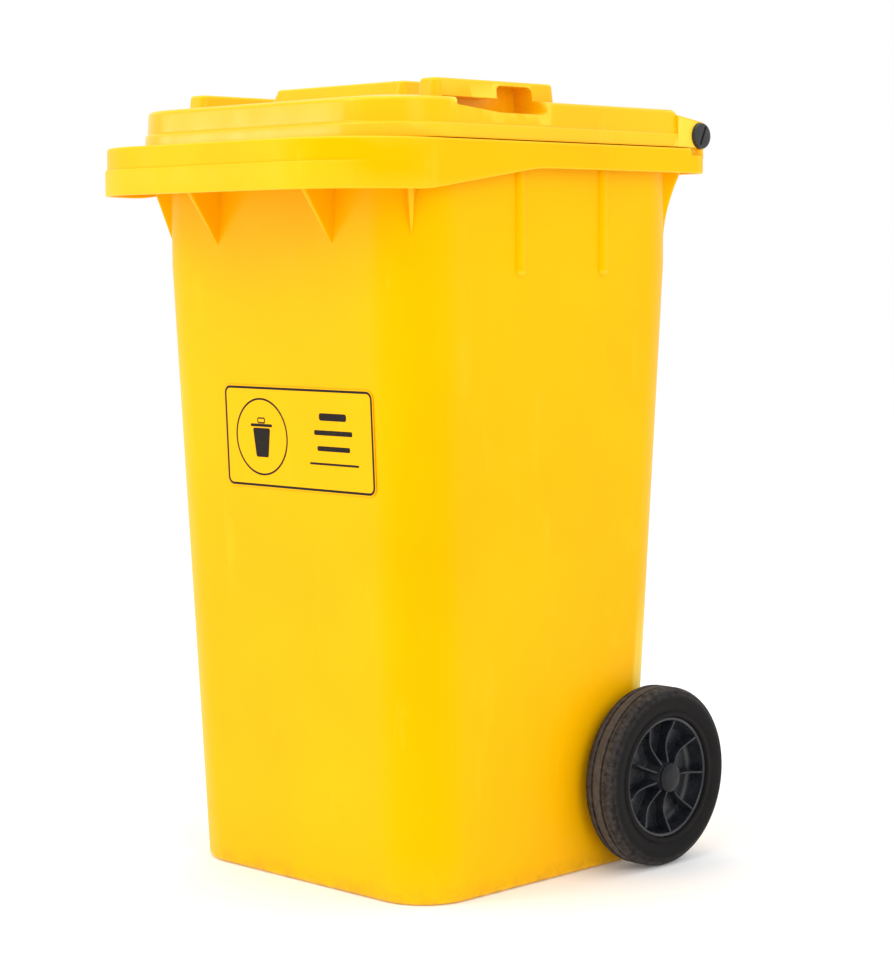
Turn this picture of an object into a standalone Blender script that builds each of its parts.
"""A two-wheeled waste bin with a hinged lid, modelled in metres with +Z up.

The front faces -Y and the bin stands on Z = 0. The tub, the rim and the hinge lugs are one
moulding. The lid swings on two pins above the rear rim, and two wheels turn on a fixed axle.
"""
import math

import bmesh
import bpy
from mathutils import Matrix, Vector

# Driving dimensions
DECK_Z = 0.800            # the lid's deck at its front edge
RIM_TOP = 0.760           # where the lid rests
RIM_HALF = 0.2184         # half width over the rim
FRONT_Y = -0.2675         # the comb lip
REAR_Y = 0.2635           # the rear rim
WHEEL_FACE = 0.2375       # outermost face of the wheels
WHEEL_R = 0.0955
GAP = 0.0003              # between pieces that touch

# Tub wall, bottom and top of the plain taper
WALL = 0.0040
TAPER_TOP = 0.640
BOTTOM = dict(half=0.1836, front=-0.1444, rear=0.1971, r_front=0.059, r_rear=0.045)
TOP = dict(half=0.2000, front=-0.1720, rear=0.2390, r_front=0.060, r_rear=0.060)

# Rim and comb lip
RIM_SIDE_LOW = RIM_TOP - 0.026
LIP_STEP = RIM_TOP - 0.022       # line between the two bands of the lip
LIP_LOW = RIM_TOP - 0.049
RIM_PLATE = 0.005                # thickness of the flat top of the rim
RIM_SKIN = 0.0032                # thickness of the hanging skirt
BAND_STEP = 0.0025               # how far the lower band stands out at the front
SHELF_Z = RIM_TOP - 0.007        # lowered rear shelf that the lid swings over
SHELF_Y = 0.2255
MOUTH_REAR = 0.2140              # rear edge of the tub's mouth

# Hinge
HINGE_Y = 0.2440
HINGE_Z = RIM_TOP + 0.0134
EYE_R = 0.0150
LUG_R = 0.0118
PIN_R = 0.0050
PIN_HOLE_R = 0.0054
CHEEK_IN = 0.2085
LUG_IN = 0.1960

# Lid
LID_HALF = 0.2143
LID_FRONT = -0.2050
LID_REAR = 0.2280
LID_R_FRONT = 0.079
LID_R_REAR = 0.012
LID_SKIN = 0.0030
LID_LOW = RIM_TOP + 0.0010
LID_BAND = RIM_TOP + 0.0150      # top of the wider lower band
GRIP_X = 0.1750                  # centre of a grip bar
GRIP_HALF = 0.0150
GRIP_TOP = 0.0200                # above the deck's edge
POCKET_X = 0.1640                # inner wall of the finger pocket under a grip bar
PANEL_HALF = 0.1040
PANEL_TOP = 0.0235

# Wheel and axle
AXLE_Y = 0.1720
AXLE_R = 0.0100
BORE_R = 0.0104
CHEEK_X = 0.1700                 # inner face of the axle cheeks
NOTCH_FRONT = 0.1180
NOTCH_TOP = 0.1300
TYRE_IN = 0.1935
TYRE_OUT = 0.2355
HUB_R = 0.0640
RIB_COUNT = 9
BOSS_OUT = 0.2330                # outer end of the hub's boss
SEAT_X = 0.2222                  # washer seat inside the boss
AXLE_END = 0.2262

ROUND = 32                       # sides of a small round piece


def clear_scene():
    for thing in list(bpy.data.objects):
        bpy.data.objects.remove(thing, do_unlink=True)


def material(name, colour, roughness, metallic=0.0):
    made = bpy.data.materials.new(name)
    made.use_nodes = True
    shader = made.node_tree.nodes["Principled BSDF"]
    shader.inputs["Base Color"].default_value = (*colour, 1.0)
    shader.inputs["Roughness"].default_value = roughness
    shader.inputs["Metallic"].default_value = metallic
    return made


def add_object(name, mesh_data, surface=None, smooth_angle=30):
    thing = bpy.data.objects.new(name, mesh_data)
    bpy.context.scene.collection.objects.link(thing)
    if surface:
        mesh_data.materials.append(surface)
    mesh_data.shade_smooth()
    mesh_data.set_sharp_from_angle(angle=math.radians(smooth_angle))
    return thing


def to_mesh(name, bm):
    bmesh.ops.recalc_face_normals(bm, faces=bm.faces)
    data = bpy.data.meshes.new(name)
    bm.to_mesh(data)
    bm.free()
    return data


def outline(half, front, rear, r_front, r_rear, z, steps=6):
    """A rounded rectangle at height z, counter-clockwise seen from above."""
    corners = (
        (half - r_front, front + r_front, r_front, -90),
        (half - r_rear, rear - r_rear, r_rear, 0),
        (r_rear - half, rear - r_rear, r_rear, 90),
        (r_front - half, front + r_front, r_front, 180),
    )
    points = []
    for cx, cy, radius, start in corners:
        for step in range(steps + 1):
            angle = math.radians(start + 90 * step / steps)
            points.append((cx + radius * math.cos(angle), cy + radius * math.sin(angle), z))
    return points


def loft(bm, rings):
    """Join rings of equal length into one closed skin with flat end caps."""
    loops = [[bm.verts.new(point) for point in ring] for ring in rings]
    for lower, upper in zip(loops, loops[1:]):
        count = len(lower)
        for i in range(count):
            j = (i + 1) % count
            bm.faces.new((lower[i], lower[j], upper[j], upper[i]))
    bm.faces.new(reversed(loops[0]))
    bm.faces.new(loops[-1])


def loft_mesh(name, rings):
    bm = bmesh.new()
    loft(bm, rings)
    return to_mesh(name, bm)


def prism(name, points, depth):
    """Extrude a closed outline of 3-D points along a vector."""
    bm = bmesh.new()
    loft(bm, [points, [tuple(Vector(p) + Vector(depth)) for p in points]])
    return to_mesh(name, bm)


def box(name, low, high):
    (x0, y0, z0), (x1, y1, z1) = low, high
    base = [(x0, y0, z0), (x1, y0, z0), (x1, y1, z0), (x0, y1, z0)]
    return prism(name, base, (0, 0, z1 - z0))


def turned(name, profile, steps=ROUND):
    """Turn a closed profile of (x, radius) about the X axis. Radius zero closes on the axis."""
    bm = bmesh.new()
    rings = []
    for x, radius in profile:
        if radius == 0:
            rings.append([bm.verts.new((x, 0, 0))])
            continue
        ring = []
        for step in range(steps):
            angle = 2 * math.pi * step / steps
            ring.append(bm.verts.new((x, radius * math.cos(angle), radius * math.sin(angle))))
        rings.append(ring)
    pairs = list(zip(rings, rings[1:]))
    if profile[0][1] != 0:
        pairs.append((rings[-1], rings[0]))
    for first, second in pairs:
        for i in range(steps):
            j = (i + 1) % steps
            if len(first) == 1:
                bm.faces.new((first[0], second[i], second[j]))
            elif len(second) == 1:
                bm.faces.new((first[i], second[0], first[j]))
            else:
                bm.faces.new((first[i], second[i], second[j], first[j]))
    return to_mesh(name, bm)


def cylinder_x(name, x0, x1, radius, y, z, steps=ROUND):
    data = turned(name, [(x0, 0), (x0, radius), (x1, radius), (x1, 0)], steps)
    data.transform(Matrix.Translation((0, y, z)))
    return data


def hidden(name, mesh_data):
    """A cutter or an added volume, kept out of the model itself."""
    thing = bpy.data.objects.new(name, mesh_data)
    bpy.context.scene.collection.objects.link(thing)
    thing.hide_render = True
    thing.display_type = 'WIRE'
    return thing


def combine(target, meshes, operation):
    """Apply one exact Boolean per mesh, in order, and leave nothing else behind."""
    for data in meshes:
        tool = hidden("tool", data)
        step = target.modifiers.new(operation.lower(), 'BOOLEAN')
        step.operation = operation
        step.object = tool
        step.solver = 'EXACT'
        bpy.context.view_layer.update()
        graph = bpy.context.evaluated_depsgraph_get()
        result = bpy.data.meshes.new_from_object(target.evaluated_get(graph))
        target.modifiers.remove(step)
        target.data = result
        bpy.data.objects.remove(tool, do_unlink=True)


def inset(section, wall):
    """The same outline moved inwards by the wall thickness."""
    return dict(
        half=section["half"] - wall,
        front=section["front"] + wall,
        rear=section["rear"] - wall,
        r_front=max(section["r_front"] - wall, 0.006),
        r_rear=max(section["r_rear"] - wall, 0.006),
    )


def wall_at(z):
    """The tub's outer section at height z."""
    share = min(z / TAPER_TOP, 1.0)
    return {key: BOTTOM[key] + (TOP[key] - BOTTOM[key]) * share for key in BOTTOM}


# ---------------------------------------------------------------- body shell

def rim_outline(z, shrink=0.0, front_step=0.0):
    return outline(
        RIM_HALF - shrink, FRONT_Y + shrink + front_step, REAR_Y - shrink,
        0.1040 - shrink, 0.0300 - shrink, z, steps=10,
    )


def rim_volume(shrink, bottom, top, front_step):
    return loft_mesh("rim", [rim_outline(bottom, shrink, front_step), rim_outline(top, shrink, front_step)])


def lip_side_profile(x0, x1, lift=0.0):
    """Side view of the lower band: level in front, rising along the side to the rim's low edge."""
    y_front = FRONT_Y - 0.01
    profile = [
        (x0, y_front, LIP_LOW - 0.01),
        (x0, y_front, LIP_LOW + lift),
        (x0, -0.1650, LIP_LOW + lift),
        (x0, -0.0100, RIM_SIDE_LOW + lift),
        (x0, REAR_Y + 0.01, RIM_SIDE_LOW + lift),
        (x0, REAR_Y + 0.01, LIP_LOW - 0.01),
    ]
    return prism("profile", profile, (x1 - x0, 0, 0))


def make_rim():
    """The hollow rim: a flat top plate with a skirt that hangs down all round."""
    rim = add_object("rim", rim_volume(0, LIP_LOW - 0.002, LIP_STEP, 0))
    combine(rim, [rim_volume(0, LIP_STEP - 0.001, RIM_TOP, BAND_STEP)], 'UNION')
    combine(rim, [lip_side_profile(-0.25, 0.25)], 'DIFFERENCE')
    hollow = add_object("hollow", rim_volume(RIM_SKIN + BAND_STEP, LIP_LOW - 0.02, RIM_TOP - RIM_PLATE, 0))
    under_shelf = box("under_shelf", (-0.25, SHELF_Y - 0.006, SHELF_Z - RIM_PLATE), (0.25, 0.30, RIM_TOP))
    combine(hollow, [under_shelf], 'DIFFERENCE')
    combine(rim, [hollow.data], 'DIFFERENCE')
    bpy.data.objects.remove(hollow, do_unlink=True)
    return rim


def gusset(foot, direction, reach, tip_z, top_z=RIM_TOP - 0.002, curved=False):
    """A tapering fin from the wall out to the rim. It is widest at the top."""
    out = Vector(direction).normalized()
    side = Vector((-out.y, out.x, 0))
    foot = Vector(foot)
    steps = 5
    bm = bmesh.new()
    rings = []
    for step in range(steps + 1):
        share = step / steps
        z = tip_z + (top_z - tip_z) * share
        grow = share ** 1.8 if curved else share
        length = 0.001 + reach * grow
        width = 0.0020 + 0.0065 * share
        back = foot - out * 0.010
        ring = [
            back - side * width, foot + out * length - side * width * 0.45,
            foot + out * length + side * width * 0.45, back + side * width,
        ]
        rings.append([(p.x, p.y, z) for p in ring])
    loft(bm, rings)
    return to_mesh("gusset", bm)


def side_rib(x_sign, y):
    """A half-round bead down the side wall, with a rounded lower end."""
    low, high = RIM_SIDE_LOW - 0.108, RIM_TOP - 0.003
    radius = 0.0075
    rings = []
    for z, scale in ((low, 0.25), (low + 0.003, 0.70), (low + 0.008, 1.0), (high, 1.0)):
        x_wall = wall_at(z)["half"] - 0.0015
        ring = []
        for step in range(9):
            angle = math.pi * step / 8
            x = x_wall + radius * 0.85 * scale * math.sin(angle)
            ring.append((x_sign * x, y - radius * scale * math.cos(angle), z))
        rings.append(ring)
    return loft_mesh("rib", rings)


def hinge_lug(x_sign):
    """An upright ear on the rear shelf, round about the hinge axis."""
    points = []
    for step in range(13):
        angle = math.pi * step / 12
        points.append((0, HINGE_Y + LUG_R * math.cos(angle), HINGE_Z + LUG_R * math.sin(angle)))
    points += [(0, HINGE_Y - LUG_R - 0.002, SHELF_Z - 0.003), (0, HINGE_Y + LUG_R + 0.002, SHELF_Z - 0.003)]
    width = CHEEK_IN - 0.0006 - LUG_IN
    start = LUG_IN if x_sign > 0 else -LUG_IN - width
    data = prism("lug", points, (width, 0, 0))
    data.transform(Matrix.Translation((start, 0, 0)))
    return data


def make_cavity():
    """The inside of the tub, stepped over the axle notch and narrowed at the mouth."""
    floor = WALL + 0.001
    sections = [(floor, 0.010), (floor + 0.010, 0.0)]
    rings = []
    for z, extra in sections:
        rings.append(outline(z=z, **inset(wall_at(z), WALL + extra)))
    rings.append(outline(z=TAPER_TOP, **inset(wall_at(TAPER_TOP), WALL)))
    neck = inset(TOP, WALL)
    rings.append(outline(z=SHELF_Z - 0.018, **neck))
    mouth = dict(neck, rear=MOUTH_REAR)
    rings.append(outline(z=SHELF_Z - 0.005, **mouth))
    rings.append(outline(z=RIM_TOP + 0.010, **mouth))
    cavity = add_object("cavity", loft_mesh("cavity", rings))
    step_front = NOTCH_FRONT - WALL
    step_top = NOTCH_TOP + WALL
    combine(cavity, [box("step", (-0.25, step_front, -0.05), (0.25, 0.30, step_top))], 'DIFFERENCE')
    return cavity


def make_body(surface):
    foot = 0.006
    rings = [outline(z=0.0, **inset(wall_at(0), foot * 0.7))]
    rings.append(outline(z=foot * 0.35, **inset(wall_at(foot), foot * 0.2)))
    rings.append(outline(z=foot, **wall_at(foot)))
    rings.append(outline(z=TAPER_TOP, **wall_at(TAPER_TOP)))
    rings.append(outline(z=RIM_TOP, **TOP))
    body = add_object("body_shell", loft_mesh("body_shell", rings), surface)
    rim = make_rim()
    additions = [rim.data]
    bpy.data.objects.remove(rim, do_unlink=True)
    fin_reach = 0.070
    for x in (-0.087, 0.087):
        additions.append(gusset((x, TOP["front"], 0), (0, -1, 0), fin_reach, LIP_LOW - 0.051))
    corner = TOP["r_front"] * (1 - math.sqrt(0.5))
    for sign in (-1, 1):
        spot = (sign * (TOP["half"] - corner), TOP["front"] + corner, 0)
        additions.append(gusset(spot, (sign, -1, 0), 0.032, LIP_LOW - 0.045))
    rear_corner = TOP["r_rear"] * (1 - math.sqrt(0.5))
    for sign in (-1, 1):
        spot = (sign * (TOP["half"] - rear_corner), TOP["rear"] - rear_corner, 0)
        additions.append(gusset(spot, (sign, 1, 0), 0.026, RIM_SIDE_LOW - 0.072, SHELF_Z - 0.002, True))
        for y in (-0.0200, 0.1040):
            additions.append(side_rib(sign, y))
    combine(body, additions, 'UNION')
    shelf = box("shelf", (-0.25, SHELF_Y, SHELF_Z), (0.25, 0.30, RIM_TOP + 0.05))
    cavity = make_cavity()
    combine(body, [shelf, cavity.data], 'DIFFERENCE')
    bpy.data.objects.remove(cavity, do_unlink=True)
    combine(body, [hinge_lug(-1), hinge_lug(1)], 'UNION')
    web = 0.005
    notches = [
        box("notch", (-CHEEK_X, NOTCH_FRONT, -0.05), (-web, 0.30, NOTCH_TOP)),
        box("notch", (web, NOTCH_FRONT, -0.05), (CHEEK_X, 0.30, NOTCH_TOP)),
    ]
    holes = [
        cylinder_x("hole", -0.25, 0.25, BORE_R, AXLE_Y, WHEEL_R),
        cylinder_x("hole", -0.25, 0.25, PIN_HOLE_R, HINGE_Y, HINGE_Z, 16),
    ]
    combine(body, notches + holes, 'DIFFERENCE')
    body.data.shade_smooth()
    body.data.set_sharp_from_angle(angle=math.radians(30))
    return body


# ---------------------------------------------------------------- lid

def lid_outline(z, shrink=0.0, rear_shrink=None):
    rear = shrink if rear_shrink is None else rear_shrink
    return outline(
        LID_HALF - shrink, LID_FRONT + shrink, LID_REAR - rear,
        max(LID_R_FRONT - shrink, 0.01), max(LID_R_REAR - shrink, 0.003), z, steps=8,
    )


def lid_outside():
    """Stepped skirt, rounded edge and a slightly crowned deck."""
    edge = 0.0045
    rings = [
        lid_outline(LID_LOW),
        lid_outline(LID_BAND, 0.0004, 0.0),
        lid_outline(LID_BAND + 0.0012, 0.0022, 0.0),
        lid_outline(DECK_Z - edge, 0.0040, 0.0),
        lid_outline(DECK_Z - edge * 0.3, 0.0040 + edge * 0.3, 0.0002),
        lid_outline(DECK_Z, 0.0040 + edge, 0.0010),
        lid_outline(DECK_Z + 0.0022, 0.0300, 0.0030),
        lid_outline(DECK_Z + 0.0034, 0.0600, 0.0060),
    ]
    return loft_mesh("lid", rings)


def lid_inside():
    rings = [
        lid_outline(LID_LOW - 0.01, LID_SKIN + 0.0004, LID_SKIN),
        lid_outline(LID_BAND - 0.003, LID_SKIN + 0.0004, LID_SKIN),
        lid_outline(LID_BAND, LID_SKIN + 0.0040, LID_SKIN),
        lid_outline(DECK_Z - 0.0050, LID_SKIN + 0.0040, LID_SKIN),
        lid_outline(DECK_Z - 0.0032, LID_SKIN + 0.0100, LID_SKIN + 0.002),
        lid_outline(DECK_Z - 0.0010, 0.0340, 0.0100),
        lid_outline(DECK_Z + 0.0002, 0.0620, 0.0140),
    ]
    return loft_mesh("inside", rings)


def plateau(half, front, rear, radius, base, top, slope):
    """A raised block with sloped sides and a rounded upper edge."""
    def ring(z, shrink):
        return outline(half - shrink, front + shrink, rear - shrink, radius, radius, z, steps=4)
    levels = ((base, 0), (top - 0.003, slope), (top - 0.0008, slope + 0.0012), (top, slope + 0.004))
    return [ring(z, shrink) for z, shrink in levels]


def raised_panel():
    rings = plateau(PANEL_HALF, -0.0890, 0.0600, 0.012, DECK_Z - 0.001, DECK_Z + PANEL_TOP, 0.004)
    return loft_mesh("panel", rings)


def grip_block(sign):
    rings = plateau(GRIP_HALF, -0.1280, 0.0460, 0.010, DECK_Z - 0.0015, DECK_Z + GRIP_TOP, 0.003)
    data = loft_mesh("grip", rings)
    data.transform(Matrix.Translation((sign * GRIP_X, 0, 0)))
    return data


def arc(cy, cz, radius, start, end, steps=3):
    """Points of an arc in the YZ plane, in degrees from +Y towards +Z."""
    angles = [math.radians(start + (end - start) * step / steps) for step in range(steps + 1)]
    return [(0, cy + radius * math.cos(a), cz + radius * math.sin(a)) for a in angles]


def finger_scoop(sign):
    """A low slot in the deck's edge that opens at its rear end into a pocket in the grip bar."""
    floor, slot_top, hole_top = DECK_Z - 0.0130, DECK_Z + 0.0022, DECK_Z + 0.0150
    front, hole_front, rear, radius = -0.1190, -0.0420, 0.0090, 0.0060
    profile = [(0, front, slot_top), (0, front, DECK_Z - 0.0070), (0, front + 0.0600, floor)]
    profile += arc(rear - radius, floor + radius, radius, 270, 360)
    profile += arc(rear - radius, hole_top - radius, radius, 0, 90)
    profile += arc(hole_front + radius, hole_top - radius, radius, 90, 180)
    profile.append((0, hole_front, slot_top))
    reach = 0.0800
    data = prism("scoop", profile, (reach, 0, 0))
    data.transform(Matrix.Translation((POCKET_X if sign > 0 else -POCKET_X - reach, 0, 0)))
    return data


def scoop_pan(sign):
    """The solid pan that closes the scoop off from the inside of the lid."""
    low = (POCKET_X - 0.0030, -0.1215, DECK_Z - 0.0160)
    high = (LID_HALF - 0.0065, 0.0095, DECK_Z - 0.0005)
    if sign < 0:
        low, high = (-high[0], low[1], low[2]), (-low[0], high[1], high[2])
    return box("pan", low, high)


def rear_fall():
    """What is cut from the deck where it steps down towards the hinge."""
    points = [
        (0, 0.2000, DECK_Z + 0.03), (0, 0.2030, DECK_Z + 0.0030), (0, 0.2090, DECK_Z - 0.0040),
        (0, HINGE_Y, DECK_Z - 0.0105), (0, 0.30, DECK_Z - 0.0105), (0, 0.30, DECK_Z + 0.03),
    ]
    data = prism("fall", points, (0.50, 0, 0))
    data.transform(Matrix.Translation((-0.25, 0, 0)))
    return data


def rear_fall_inner():
    """Material that keeps the deck closed under the step."""
    rear = LID_REAR - 0.001
    points = [
        (0, 0.1960, DECK_Z - 0.0005), (0, 0.1960, DECK_Z - 0.0040), (0, 0.2060, DECK_Z - 0.0085),
        (0, rear, DECK_Z - 0.0110), (0, rear, DECK_Z - 0.0060), (0, 0.2070, DECK_Z - 0.0005),
    ]
    width = 2 * (LID_HALF - 0.006)
    data = prism("fall_inner", points, (width, 0, 0))
    data.transform(Matrix.Translation((-width / 2, 0, 0)))
    return data


def rear_fall_bridge():
    """Closes the gap between that material and the higher ceiling in the middle of the lid."""
    reach = 0.180
    return box("bridge", (-reach, 0.1950, DECK_Z - 0.0020), (reach, 0.2065, DECK_Z + 0.0010))


def lid_cheek(sign):
    """The side of the lid carried back around the hinge pin."""
    points = [(0, LID_REAR - 0.020, LID_LOW), (0, LID_REAR - 0.020, DECK_Z - 0.006)]
    for step in range(11):
        angle = math.radians(85 - 160 * step / 10)
        points.append((0, HINGE_Y + EYE_R * math.cos(angle), HINGE_Z + EYE_R * math.sin(angle)))
    low_y = HINGE_Y + 0.002
    points.append((0, low_y, LID_LOW))
    thick = LID_HALF - CHEEK_IN
    data = prism("cheek", points, (thick, 0, 0))
    data.transform(Matrix.Translation((CHEEK_IN if sign > 0 else -LID_HALF, 0, 0)))
    return data


def make_lid(surface):
    lid = add_object("lid", lid_outside(), surface)
    combine(lid, [lid_inside()], 'DIFFERENCE')
    combine(lid, [scoop_pan(-1), scoop_pan(1), rear_fall_inner(), rear_fall_bridge()], 'UNION')
    combine(lid, [grip_block(-1), grip_block(1), raised_panel()], 'UNION')
    combine(lid, [finger_scoop(-1), finger_scoop(1), rear_fall()], 'DIFFERENCE')
    combine(lid, [lid_cheek(-1), lid_cheek(1)], 'UNION')
    combine(lid, [cylinder_x("hole", -0.25, 0.25, PIN_HOLE_R, HINGE_Y, HINGE_Z, 16)], 'DIFFERENCE')
    lid.data.shade_smooth()
    lid.data.set_sharp_from_angle(angle=math.radians(30))
    lid.data.transform(Matrix.Translation((0, -HINGE_Y, -HINGE_Z)))
    lid.location = (0, HINGE_Y, HINGE_Z)
    return lid


# ---------------------------------------------------------------- hinge pins

def make_pin(name, sign, surface):
    """A push-in pin: a plain shaft and a domed head with a slot."""
    shaft_end = LUG_IN - 0.006
    head_face = LID_HALF + GAP
    profile = [
        (shaft_end, 0), (shaft_end, PIN_R - 0.001), (shaft_end + 0.001, PIN_R), (head_face, PIN_R),
        (head_face, 0.0140), (head_face + 0.0022, 0.0140), (head_face + 0.0036, 0.0122),
        (head_face + 0.0040, 0),
    ]
    pin = add_object(name, turned(name, profile, 24), surface)
    slot = box("slot", (head_face + 0.0026, -0.0016, -0.0105), (head_face + 0.01, 0.0016, 0.0105))
    slot.transform(Matrix.Rotation(math.radians(-25), 4, 'X'))
    combine(pin, [slot], 'DIFFERENCE')
    if sign < 0:
        pin.data.transform(Matrix.Rotation(math.pi, 4, 'Z'))
    pin.location = (0, HINGE_Y, HINGE_Z)
    return pin


# ---------------------------------------------------------------- wheels

def hub_blank():
    """Inner boss, thin web, rim wall and outer boss, turned as one profile."""
    rim_in = TYRE_IN + 0.004
    rim_out = TYRE_OUT - 0.0045
    web_back = 0.2080
    web_face = 0.2120
    return turned("hub", [
        (0.1945, BORE_R), (0.1945, 0.0165), (web_back, 0.0175), (web_back, HUB_R - 0.0050),
        (rim_in, HUB_R - 0.0040), (rim_in, HUB_R), (rim_out, HUB_R), (rim_out, HUB_R - 0.0035),
        (web_face, HUB_R - 0.0065), (web_face, 0.0165), (BOSS_OUT, 0.0155), (BOSS_OUT, 0.0120),
        (SEAT_X, 0.0120), (SEAT_X, BORE_R),
    ], 48)


def hub_rib(index):
    """One straight rib, highest at its ends and dipped in between."""
    inner, outer = 0.0145, HUB_R - 0.0045
    back = 0.2100
    points = []
    steps = 6
    for step in range(steps + 1):
        share = step / steps
        radius = inner + (outer - inner) * share
        height = 0.2305 - 0.0060 * math.sin(math.pi * share) ** 1.5
        points.append((height, 0, radius))
    points += [(back, 0, outer), (back, 0, inner)]
    data = prism("rib", [(x, -0.0016, r) for x, _, r in points], (0, 0.0032, 0))
    turn = 360 / RIB_COUNT * index - 93.5
    data.transform(Matrix.Rotation(math.radians(turn), 4, 'X'))
    return data


def make_hub(name, surface):
    hub = add_object(name, hub_blank(), surface)
    combine(hub, [hub_rib(i) for i in range(RIB_COUNT)], 'UNION')
    hub.data.shade_smooth()
    hub.data.set_sharp_from_angle(angle=math.radians(30))
    return hub


def make_tyre(name, surface):
    """A solid tyre: flat tread with two grooves and rounded shoulders."""
    inner = HUB_R + GAP
    middle = (TYRE_IN + TYRE_OUT) / 2
    shoulder = [(0.0040, inner), (0.0, 0.0740), (0.0006, 0.0870), (0.0040, 0.0930), (0.0080, WHEEL_R)]
    profile = [(TYRE_IN + depth, radius) for depth, radius in shoulder]
    for centre in (middle - 0.0060, middle + 0.0060):
        profile += [(centre - 0.0014, WHEEL_R), (centre, WHEEL_R - 0.0020), (centre + 0.0014, WHEEL_R)]
    profile += [(TYRE_OUT - depth, radius) for depth, radius in reversed(shoulder)]
    return add_object(name, turned(name, profile, 48), surface)


def ring_piece(name, x0, x1, bore, radius, surface, steps=ROUND):
    profile = [(x0, bore), (x0, radius), (x1, radius), (x1, bore)]
    return add_object(name, turned(name, profile, steps), surface)


def make_push_nut(name, surface):
    """A dished spring washer that grips the end of the axle."""
    flat, dish, thick = SEAT_X + 0.0018, 0.0012, 0.0007
    profile = [
        (flat, 0.0116), (flat, 0.0110), (flat + dish, BORE_R), (flat + dish + thick, BORE_R),
        (flat + thick, 0.0113), (flat + thick, 0.0116),
    ]
    return add_object(name, turned(name, profile), surface)


def make_cap(name, surface):
    """A domed cap pushed into the mouth of the hub boss."""
    profile = [
        (0.2280, 0), (0.2280, 0.0117), (BOSS_OUT + GAP, 0.0117), (BOSS_OUT + GAP, 0.0155),
        (0.2352, 0.0155), (0.2368, 0.0138), (WHEEL_FACE, 0.0080), (WHEEL_FACE, 0),
    ]
    return add_object(name, turned(name, profile), surface)


def place_on_axle(pieces, sign):
    """Move pieces built about the X axis to the axle, and turn the left set round."""
    for piece in pieces:
        if sign < 0:
            piece.data.transform(Matrix.Rotation(math.pi, 4, 'Z'))
        piece.location = (0, AXLE_Y, WHEEL_R)


def make_axle(surface):
    bevel = 0.0012
    half = [(AXLE_END - bevel, AXLE_R), (AXLE_END, AXLE_R - bevel), (AXLE_END, 0)]
    profile = [(-x, radius) for x, radius in reversed(half)] + half
    axle = add_object("axle", turned("axle", profile), surface)
    axle.location = (0, AXLE_Y, WHEEL_R)
    return axle


def make_wheel_set(side, sign, surfaces):
    wall = wall_at(WHEEL_R)["half"] + 0.0004
    sleeve_end = 0.1928
    pieces = [
        ring_piece(f"axle_sleeve_{side}", wall, sleeve_end, BORE_R, 0.0150, surfaces["dark"]),
        ring_piece(f"inner_washer_{side}", sleeve_end + GAP, 0.1942, BORE_R, 0.0155, surfaces["steel"]),
        make_hub(f"wheel_hub_{side}", surfaces["dark"]),
        make_tyre(f"tyre_{side}", surfaces["rubber"]),
        ring_piece(f"outer_washer_{side}", SEAT_X + GAP, SEAT_X + 0.0015, BORE_R, 0.0116, surfaces["steel"]),
        make_push_nut(f"push_nut_{side}", surfaces["steel"]),
        make_cap(f"hub_cap_{side}", surfaces["dark"]),
    ]
    place_on_axle(pieces, sign)


# ---------------------------------------------------------------- label

def make_label(surface):
    """A thin film on the front wall, leaning with the wall's taper."""
    width, height, thick, radius = 0.2250, 0.1060, 0.0004, 0.009
    centre_x, centre_z = 0.0270, 0.4640
    points = []
    for cx, cy, start in ((1, -1, 270), (1, 1, 0), (-1, 1, 90), (-1, -1, 180)):
        for step in range(5):
            angle = math.radians(start + 90 * step / 4)
            x = cx * (width / 2 - radius) + radius * math.cos(angle)
            y = cy * (height / 2 - radius) + radius * math.sin(angle)
            points.append((x, 0, y))
    label = add_object("label_film", prism("label_film", points, (0, -thick, 0)), surface)
    label.location = (centre_x, wall_at(centre_z)["front"] - 0.0004, centre_z)
    label.rotation_euler = (math.atan2(BOTTOM["front"] - TOP["front"], TAPER_TOP), 0, 0)
    return label


def main():
    clear_scene()
    yellow = material("bin_yellow", (0.95, 0.58, 0.01), 0.35)
    lid_yellow = material("lid_yellow", (0.95, 0.62, 0.01), 0.30)
    label = material("label_film", (0.93, 0.60, 0.02), 0.45)
    black = material("pin_black", (0.02, 0.02, 0.022), 0.35)
    surfaces = {
        "dark": material("hub_plastic", (0.03, 0.032, 0.038), 0.35),
        "rubber": material("tyre_rubber", (0.06, 0.055, 0.05), 0.80),
        "steel": material("plated_steel", (0.62, 0.62, 0.60), 0.35, 1.0),
    }
    make_body(yellow)
    make_lid(lid_yellow)
    make_pin("hinge_pin_left", -1, black)
    make_pin("hinge_pin_right", 1, black)
    make_axle(surfaces["steel"])
    make_wheel_set("left", -1, surfaces)
    make_wheel_set("right", 1, surfaces)
    make_label(label)


main()
